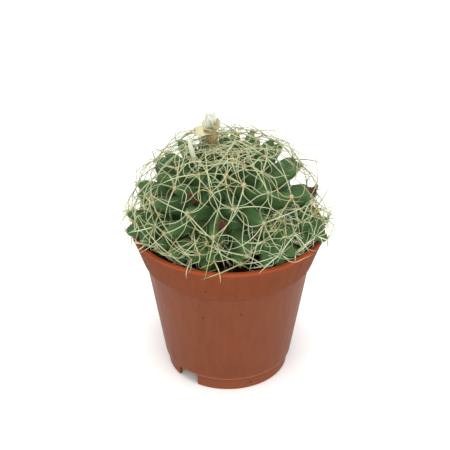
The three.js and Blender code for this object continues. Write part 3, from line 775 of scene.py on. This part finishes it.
def make_soil():
    """The potting mix: a crumbly top in fine rings, over a plain body that fills the pot."""
    segments, rings, clear = 150, 44, 1.6 * GAP
    floor = FOOT_HEIGHT + FLOOR_THICKNESS + GAP
    heights = [SOIL_TOP - 2, COLLAR_BOTTOM, COLLAR_BOTTOM - WALL, floor]
    points = [Vector((0, 0, soil_height(0, 0)))]
    edge = pot_inner_radius(SOIL_TOP) - clear
    rows = [(edge * (i + 1) / rings, None) for i in range(rings)]
    rows += [(pot_inner_radius(z) - clear, z) for z in heights]
    for radius, z in rows:
        for j in range(segments):
            angle = tau * j / segments
            x, y = radius * sin(angle), -radius * cos(angle)
            points.append(Vector((x, y, soil_height(x, y) if z is None else z)))
    points.append(Vector((0, 0, floor)))
    form = Form()
    form.add(points, [tuple(reversed(face)) for face in ring_faces(len(rows), segments, first_point=True)])
    piece("soil_body", form, peat_finish(), ["soil"])


def make_grains():
    """Crumbs, bark and a few pale grit grains on top of the potting mix, where it can be seen."""
    draw, form = draws(GRAINS.seed), Form()
    ball = bmesh.new()
    bmesh.ops.create_icosphere(ball, subdivisions=2, radius=1)
    corners = [v.co.copy() for v in ball.verts]
    faces = [tuple(v.index for v in f.verts) for f in ball.faces]
    ball.free()
    for n in range(GRAINS.count):
        radius, angle = mix(*GRAINS.ring, sqrt(draw())), draw() * tau
        size = mix(*GRAINS.size, draw() ** 3)
        stretch = Vector((size * mix(*GRAINS.length, draw() ** 3), size, size * mix(*GRAINS.height, draw())))
        turn = Quaternion((draw() - 0.5, draw() - 0.5, draw() - 0.5, draw() - 0.5)).normalized()
        x, y = radius * sin(angle), -radius * cos(angle)
        middle = Vector((x, y, soil_height(x, y) + size * GRAINS.sunk))
        points = []
        for corner in corners:
            rough = 1 + GRAINS.roughness * noise.noise(corner * 1.4 + Vector((n, 0, 0)))
            points.append(middle + turn @ times(corner, stretch) * rough)
        form.add(points, faces, tone=draw())
    piece("soil_grains", form, grain_finish())


# Heads


def uneven(amount, scale, shift=0.0, ribs=0, ribbing=0.0):
    """A soft unevenness of a surface, as a share of its radius, with some blunt ribs along it."""

    def bump(point, angle):
        ribbed = ribbing * cos(ribs * angle + shift)
        return amount * noise.noise(point * scale + Vector((shift, 0, 0))) + ribbed

    return bump


def add_trunk(form, head):
    """The body under the tubercles, and its stem down into the soil."""
    neck, segments, rows = SOIL_TOP + 2 * SOIL_LUMP + GAP, 40, 14
    outline = [(head.stem_radius, SOIL_TOP - head.stem_depth), (head.stem_radius, neck)]
    for i in range(rows):
        up = pi / 2 * i / rows
        outline.append((head.trunk.x * cos(up), head.centre.z + head.trunk.z * sin(up)))
    points = [Vector((head.foot.x, head.foot.y, SOIL_TOP - head.stem_depth))]
    for radius, z in outline:
        middle = head.centre.lerp(head.foot, min(max((head.centre.z - z) / (head.centre.z - neck), 0), 1))
        for j in range(segments):
            angle = tau * j / segments
            x, y = middle.x + radius * sin(angle), middle.y - radius * cos(angle)
            points.append(Vector((x, y, z)))
    points.append(head.centre + UP * head.trunk.z)
    faces = ring_faces(len(outline), segments, first_point=True)
    form.add(points, faces, along=0.0, tone=0.3, grown=1.0)


def tubercle_radius(share):
    """Radius of a tubercle along its length, in shares of its own: a soft belly and a round tip."""
    if share > TUBERCLE.round_from:
        over = (share - TUBERCLE.round_from) / (1 - TUBERCLE.round_from)
        return TUBERCLE.slim * sqrt(max(1 - over**TUBERCLE.bluntness, 0)) * (1 - TUBERCLE.pinch * over)
    share /= TUBERCLE.round_from
    return mix(TUBERCLE.root, TUBERCLE.slim, share) + TUBERCLE.belly * sin(pi * share)


def tubercle_bend(tubercle):
    sag = UP * (TUBERCLE.bow * tubercle.bow * tubercle.radius)
    return Bend(tubercle.root, tubercle.root.lerp(tubercle.tip, 0.5) - sag, tubercle.tip)


def add_tubercles(form, head):
    """Tubercles with blunt ribs and an uneven skin, on rings that lie closer together towards the tip."""
    draw, rings, sides = draws(head.seed + SEED_FOR.skin), 15, 24
    shares = [1 - (1 - i / rings) ** 1.7 for i in range(rings)]
    for tubercle in head.tubercles:
        stations = [(share, tubercle.radius * tubercle_radius(share)) for share in shares]
        curve, across = tubercle_bend(tubercle), (tubercle.tip - tubercle.root).cross(UP)
        bump = uneven(0.07, 0.35, tubercle.bow * 50, ribs=4, ribbing=0.12)
        sweep(form, curve, stations, sides, across, bump=bump, tone=draw(), grown=tubercle.grown)


def star_angles(taken, count, draw):
    """Angles for the further spines of a star: each goes into the widest gap that is left."""
    angles = []
    while len(taken) + len(angles) < count:
        row = sorted(angle % tau for angle in [*taken, *angles]) or [draw() * tau]
        gaps = [(after - before, before) for before, after in zip(row, [*row[1:], row[0] + tau])]
        width, before = max(gaps)
        angles.append(before + width * mix(0.4, 0.6, draw()))
    return angles


def meets_pot(curve, clear=0.4, steps=40):
    """Whether a spine comes lower than the top of the lip where the wall of the pot is, or outside it."""
    spots = [curve.at(i / steps) for i in range(steps + 1)]
    wall = LIP_RADIUS - LIP_WIDTH - clear
    return any(spot.z < POT_HEIGHT + clear and hypot(spot.x, spot.y) > wall for spot in spots)


def is_free(curve, above=3, inside=5, root=0.3, steps=13):
    """Whether a spine stays out of the solids beyond its root, and doesn't end low over the pot's lip."""
    end = curve.end
    low_over_lip = end.z < POT_HEIGHT + above and hypot(end.x, end.y) > LIP_RADIUS - inside
    if low_over_lip or meets_pot(curve):
        return False
    spots = [curve.at(mix(root, 1, i / steps)) for i in range(steps + 1)]
    return not any(solid.holds(spot) for solid in SOLIDS.values() for spot in spots)


def further_spines(head, spines):
    """Spines that the solids leave out, so that every areole has a full star of them."""
    found = []
    for index, tubercle in enumerate(head.tubercles):
        draw = draws((head.seed + SEED_FOR.further) * (index + 2))
        taken = [spine.angle for spine in spines if spine.tubercle is tubercle]
        count = int(mix(*head.star, tubercle.grown) + draw() * FURTHER.extra)
        kind = SimpleNamespace(arch=FURTHER.arch, twist=mix(*head.curl, tubercle.grown))
        shortest = mix(*head.shortest, tubercle.grown)
        for angle in star_angles(taken, count, draw):
            for attempt in range(FURTHER.tries):
                shorter = mix(shortest, 1, draw()) * mix(FURTHER.young, 1, tubercle.grown)
                length = head.spine_length * (shorter * (1 - attempt * FURTHER.shorten))
                heading = angle + (draw() - 0.5) * FURTHER.swing * attempt
                sway = mix(*FURTHER.sway, 1 - tubercle.grown) * (draw() - 0.5) * 2
                curve = spine_bend(head, tubercle, heading, length, draw, kind, sway)
                if is_free(curve):
                    radius = mix(*head.fineness, draw())
                    found.append(SimpleNamespace(tubercle=tubercle, angle=angle, curve=curve, radius=radius))
                    break
    return found


def spine_colours(head, tone, grown):
    """How golden and how pale a spine is, on the mother head and on an offset."""
    if head.settled:
        golden = max(ease((tone - GOLD.tone) / GOLD.fade), GOLD.young * (1 - grown))
        return golden, GOLD.pale * (1 - grown)
    return 1 - grown, head.paleness * grown


def add_spines(form, head, spines):
    draw, steps, sides = draws(head.seed + SEED_FOR.colours), 9, 6
    for spine in spines:
        root = spine.radius * SPINE_FINE
        stations = [(i / steps, root * (1 - i / steps) ** SPINE_TAPER) for i in range(steps)]
        across = (spine.curve.end - spine.curve.start).cross(UP)
        tone = mix(spine.tubercle.tone, draw(), OWN_TONE)
        golden, pale = spine_colours(head, tone, spine.tubercle.grown)
        sweep(form, spine.curve, stations, sides, across, golden=golden, pale=pale)


def add_wool(form, head):
    """A small cushion of wool on each areole, with short hairs that stand out of it."""
    draw, sides, hair_sides = draws(head.seed + SEED_FOR.wool), 10, 3
    for tubercle in head.tubercles:
        out = (tubercle.tip - tubercle.root).normalized()
        size = head.wool * mix(*CUSHION.sizes, draw()) * mix(CUSHION.young, 1, tubercle.grown)
        tone = mix(tubercle.tone, draw(), OWN_TONE)
        foot = tubercle.tip - out * size * CUSHION.sunk
        stations = [(share, size * wide) for share, wide in CUSHION.profile]
        cushion = Bend(foot, foot + out * size * (CUSHION.height / 2), foot + out * size * CUSHION.height)
        side = out.orthogonal().normalized()
        sweep(form, cushion, stations, sides, side, bump=uneven(CUSHION.unevenness, 2.4), tone=tone)
        for _ in range(head.hairs):
            turn, lean = draw() * tau, draw() ** 0.6 * HAIR.lean
            way = side * cos(turn) + out.cross(side) * sin(turn)
            way = out * cos(lean) + way * sin(lean)
            start = tubercle.tip - out * size * HAIR.sunk + way * size * HAIR.ring
            length = size * mix(*HAIR.lengths, draw())
            droop = Vector((draw() - 0.5, draw() - 0.5, draw() - 0.7)) * (length * HAIR.droop)
            hair = Bend(start, start + way * length * 0.6, start + way * length + droop)
            own_tone = min(tone + draw() * 0.5, 1)
            sweep(form, hair, HAIR.stations, hair_sides, way.orthogonal(), tone=own_tone)


def make_head(head):
    flesh, straw, wool = Form(), Form(), Form()
    head.tubercles = fitted_tubercles(head)
    spines = packed_spines(head, head.tubercles)
    add_trunk(flesh, head)
    add_tubercles(flesh, head)
    add_spines(straw, head, spines + further_spines(head, spines))
    add_wool(wool, head)
    young = head.name == "offset_front"
    skin, slot = (YOUNG_FLESH, "young_flesh") if young else (FLESH, "cactus_flesh")
    piece(head.name + "_flesh", flesh, skin, [head.name])
    piece(head.name + "_spines", straw, STRAW)
    piece(head.name + "_wool", wool, WOOL)


# Flowers

OPEN_FLOWER = SimpleNamespace(
    seed=61, azimuth=-65, polar=9, sunk=9.5, length=23.5, radius=1.9, sepal=7.6, petal=10,
)
CLOSED_FLOWER = SimpleNamespace(azimuth=-51, polar=25, sunk=8, length=17.6, radius=1.05)
WITHERED_FLOWERS = {
    "withered_flower_left": SimpleNamespace(seed=119, azimuth=-27, polar=49, sunk=7, length=8.6, radius=1.4),
    "withered_flower_middle": SimpleNamespace(seed=134, azimuth=-2, polar=64, sunk=7.5, length=8, radius=1.9),
    "withered_flower_right": SimpleNamespace(seed=136, azimuth=84, polar=66, sunk=9, length=11, radius=1.6),
}

# The whorls of the open flower. Sepals lean out, but less where they are lifted, and petals stand up.
SEPAL_WHORLS = [
    dict(count=11, turn=0.0, length=OPEN_FLOWER.sepal, width=4.3, flare=0.7, cup=0.2, lifted=0.66),
    dict(count=10, turn=0.3, length=OPEN_FLOWER.sepal * 0.95, width=4.1, flare=0.84, cup=0.18, lifted=0.56),
]
PETAL_WHORLS = [
    dict(count=8, turn=0.3, length=OPEN_FLOWER.petal * 1.08, width=3.0, flare=0.11, curl=0.1, point=0.45),
    dict(count=6, turn=0.8, length=OPEN_FLOWER.petal * 1.04, width=2.8, flare=0.05, curl=0.1, point=0.45),
    dict(count=5, turn=0.1, length=OPEN_FLOWER.petal * 0.97, width=2.4, flare=-0.07, curl=0.05, point=0.5),
]
# The side on which lifted sepals stand up
FRONT_RIGHT = Vector((0.95, -0.3, 0))
# One petal or sepal: its thickness and least half width, and shares for its widest place, its root, how
# much thinner its rim is, and its ripples
BLADE = SimpleNamespace(thickness=0.22, least=0.02, widest=0.55, root=0.4, thinning=0.8, ripple=0.12)


def flower_place(flower, upturn=0.35):
    """Where a flower stands on the mother head: its foot, its end and the way in which it grows."""
    way = direction(radians(flower.azimuth), radians(flower.polar))
    along = way.lerp(UP, upturn).normalized()
    foot = times(way, MOTHER.tips) + MOTHER.centre - along * flower.sunk
    side = along.cross(UP).normalized()
    return SimpleNamespace(foot=foot, along=along, end=foot + along * flower.length, side=side)


def add_tube(form, place, end, radius, bow, profile, sides, bump, flatness=1.0, **values):
    """The tube of a flower from its foot. Its profile has shares of its length and of its radius."""
    curve = Bend(place.foot, place.foot.lerp(end, 0.5) + place.side * (radius * bow), end)
    stations = [(share, radius * wide) for share, wide in profile]
    sweep(form, curve, stations, sides, place.side, flatness, bump=bump, **values)
    return curve


def add_blade(form, curve, width, across, cup, point, **values):
    """A thin closed blade along a curve, cupped across. Point is 0.5 for a round end, 1 for a sharp one."""
    rows, columns = 14, 6
    points, along, side_values, faces = [], [], [], []
    for surface in (1, -1):
        for i in range(rows + 1):
            share = i / rows
            heading = curve.heading(share)
            side = (across - heading * across.dot(heading)).normalized()
            normal = side.cross(heading)
            over = max(share - BLADE.widest, 0) / (1 - BLADE.widest)
            widening = mix(BLADE.root, 1, ease(share / BLADE.widest))
            half = width / 2 * widening * (1 - over**2) ** point + BLADE.least
            for j in range(columns + 1):
                x = 2 * j / columns - 1
                rim = BLADE.thickness / 2 * (1 - BLADE.thinning * abs(x) ** 3)
                spot = curve.at(share) + side * (half * x) + normal * (cup * half * x * x + surface * rim)
                spot += normal * (BLADE.ripple * half * sin(share * 9 + x * 3))
                points.append(spot)
                along.append(share)
                side_values.append(x)
    row, sheet = columns + 1, (rows + 1) * (columns + 1)
    for i in range(rows):
        for j in range(columns):
            a = i * row + j
            faces.append((a, a + 1, a + row + 1, a + row))
            faces.append((sheet + a, sheet + a + row, sheet + a + row + 1, sheet + a + 1))
    rim_points = list(range(columns)) + [i * row + columns for i in range(rows)]
    rim_points += [rows * row + j for j in range(columns, 0, -1)] + [i * row for i in range(rows, 0, -1)]
    for a, b in zip(rim_points, rim_points[1:] + rim_points[:1]):
        faces.append((b, a, sheet + a, sheet + b))
    form.add(points, faces, along=along, side=side_values, **values)


def add_whorl(form, throat, place, draw, count, turn, length, width, flare, cup, curl, point, lifted=0.0):
    """A whorl of petals round the growing direction of a flower. Lifted ones stand up at its front right."""
    for k in range(count):
        angle = turn + tau * k / count + (draw() - 0.5) * 0.3
        across = Quaternion(place.along, angle) @ place.side
        out = across.cross(place.along)
        reach = length * mix(0.85, 1.03, draw())
        lean = flare * mix(0.7, 1.15, draw()) * (1 - lifted * out.dot(FRONT_RIGHT))
        start = throat + out * (width / 4)
        through = start + place.along * (reach * 0.6) + out * (reach * 0.12 * lean)
        end = start + place.along * (reach * cos(lean)) + out * (reach * sin(lean))
        end += place.along * (curl * (draw() - 0.6) * reach)
        add_blade(form, Bend(start, through, end), width, across, cup, point, tone=draw(), stalk=0.0)


def make_open_flower():
    place, radius = flower_place(OPEN_FLOWER), OPEN_FLOWER.radius
    throat = place.end - place.along * OPEN_FLOWER.petal
    tube, petals, draw = Form(), Form(), draws(OPEN_FLOWER.seed)
    profile = [(0.0, 0.55), (0.3, 0.58), (0.55, 0.68), (0.75, 0.95), (0.9, 1.35), (0.98, 1.45)]
    ribs = uneven(0.06, 0.8, ribs=8, ribbing=0.07)
    add_tube(tube, place, throat, radius, 0, profile, 32, ribs, tone=0.6, side=0.0, stalk=1.0)
    below = throat - place.along * (0.5 * radius)
    for whorl in SEPAL_WHORLS:
        add_whorl(tube, below, place, draw, curl=0.12, point=0.5, **whorl)
    for whorl in PETAL_WHORLS:
        add_whorl(petals, throat - place.along, place, draw, cup=0.5, **whorl)
    piece("open_flower_tube", tube, SEPAL, ["flower_tube"])
    piece("open_flower_petals", petals, WHITE_PETAL, ["flower_petals"])


def make_closed_flower():
    place, form = flower_place(CLOSED_FLOWER), Form()
    profile = [(0.0, 0.6), (0.2, 0.68), (0.4, 0.8), (0.6, 0.98)]
    profile += [(0.75, 0.9), (0.88, 0.62), (0.96, 0.34), (0.99, 0.14)]
    folds = uneven(0.08, 0.9, ribs=5, ribbing=0.1)
    radius, bow = CLOSED_FLOWER.radius, 0.5
    add_tube(form, place, place.end, radius, bow, profile, 28, folds, tone=0.4, side=0.2, stalk=0.6)
    piece("closed_flower", form, WHITE_PETAL, ["flower_closed"])


def make_withered_flower(name, flower):
    """A shrivelled husk, with the curled dry petals that hang on round its end in three whorls."""
    place, form, draw = flower_place(flower), Form(), draws(flower.seed)
    profile = [(0.0, 0.7), (0.3, 0.8), (0.5, 0.75), (0.7, 0.5), (0.8, 0.55), (0.88, 0.6), (0.96, 0.3)]
    shrivel, bow, flatness = uneven(0.6, 0.9, ribs=5, ribbing=0.2), 0.7, 0.8
    curve = add_tube(form, place, place.end, flower.radius, bow, profile, 24, shrivel, flatness, tone=0.3)
    length, width = flower.radius * 1.5, flower.radius * 0.6
    for share, count, flare in ((0.62, 6, 0.9), (0.78, 6, 0.6), (0.86, 4, 0.3)):
        throat = curve.at(share) - place.along * (flower.radius * 0.4)
        whorl = dict(count=count, turn=share * 9, flare=flare, cup=0.9, curl=1.2, point=0.9)
        add_whorl(form, throat, place, draw, length=length, width=width, **whorl)
    piece(name + "_husk", form, DRY, [name])


# Floor, light and camera


def make_stage():
    """A plain pale floor. Its half width is in metres."""
    half = 12.0
    corners = [(-half, -half, 0), (half, -half, 0), (half, half, 0), (-half, half, 0)]
    mesh = bpy.data.meshes.new("floor")
    mesh.from_pydata(corners, [], [(0, 1, 2, 3)])
    floor = put("floor", mesh)
    paint = Paint("floor", 0.1, Roughness=0.9)
    paint.colour = (252, 251, 250)
    paint.coat((248, 248, 247), paint.noise(0.004, 2))
    mesh.materials.append(paint.finish())


def add_light(name, place, aim, size, energy, colour=(1, 1, 1)):
    light = bpy.data.lights.new(name, "AREA")
    light.shape, light.size, light.energy, light.color = "DISK", size, energy, colour
    made = put(name, light)
    made.location = place
    made.rotation_euler = (Vector(aim) - Vector(place)).to_track_quat("-Z", "Y").to_euler()


def make_lights():
    """Soft light from a white world, a large lamp above and one at the front, placed in metres."""
    world = bpy.data.worlds.new("studio")
    world.use_nodes = True
    background = world.node_tree.nodes["Background"]
    background.inputs["Color"].default_value = (1, 1, 1, 1)
    background.inputs["Strength"].default_value = 0.9
    bpy.context.scene.world = world
    aim = (0, 0, 0.07)
    add_light("top_light", (0.0, -0.16, 0.8), aim, 0.6, 5.2, (1, 0.985, 0.96))
    add_light("front_light", (0.04, -0.74, 0.46), aim, 0.45, 2.1)


def make_camera():
    camera = put("camera", bpy.data.cameras.new("camera"))
    tilt = radians(CAMERA.elevation)
    back = Vector((0, -cos(tilt), sin(tilt)))
    camera.location = (Vector(CAMERA.aim) + back * CAMERA.distance) * MM
    camera.rotation_euler = (-back).to_track_quat("-Z", "Y").to_euler()
    camera.data.sensor_width, camera.data.lens = CAMERA.sensor, CAMERA.lens
    camera.data.clip_start, camera.data.clip_end = 0.01, 20
    bpy.context.scene.camera = camera


make_camera()
make_lights()
make_stage()
make_pot()
make_soil()
make_grains()
for head in [MOTHER, *OFFSETS]:
    make_head(head)
make_open_flower()
make_closed_flower()
for name, flower in WITHERED_FLOWERS.items():
    make_withered_flower(name, flower)
bpy.context.scene.view_settings.view_transform = "Standard"
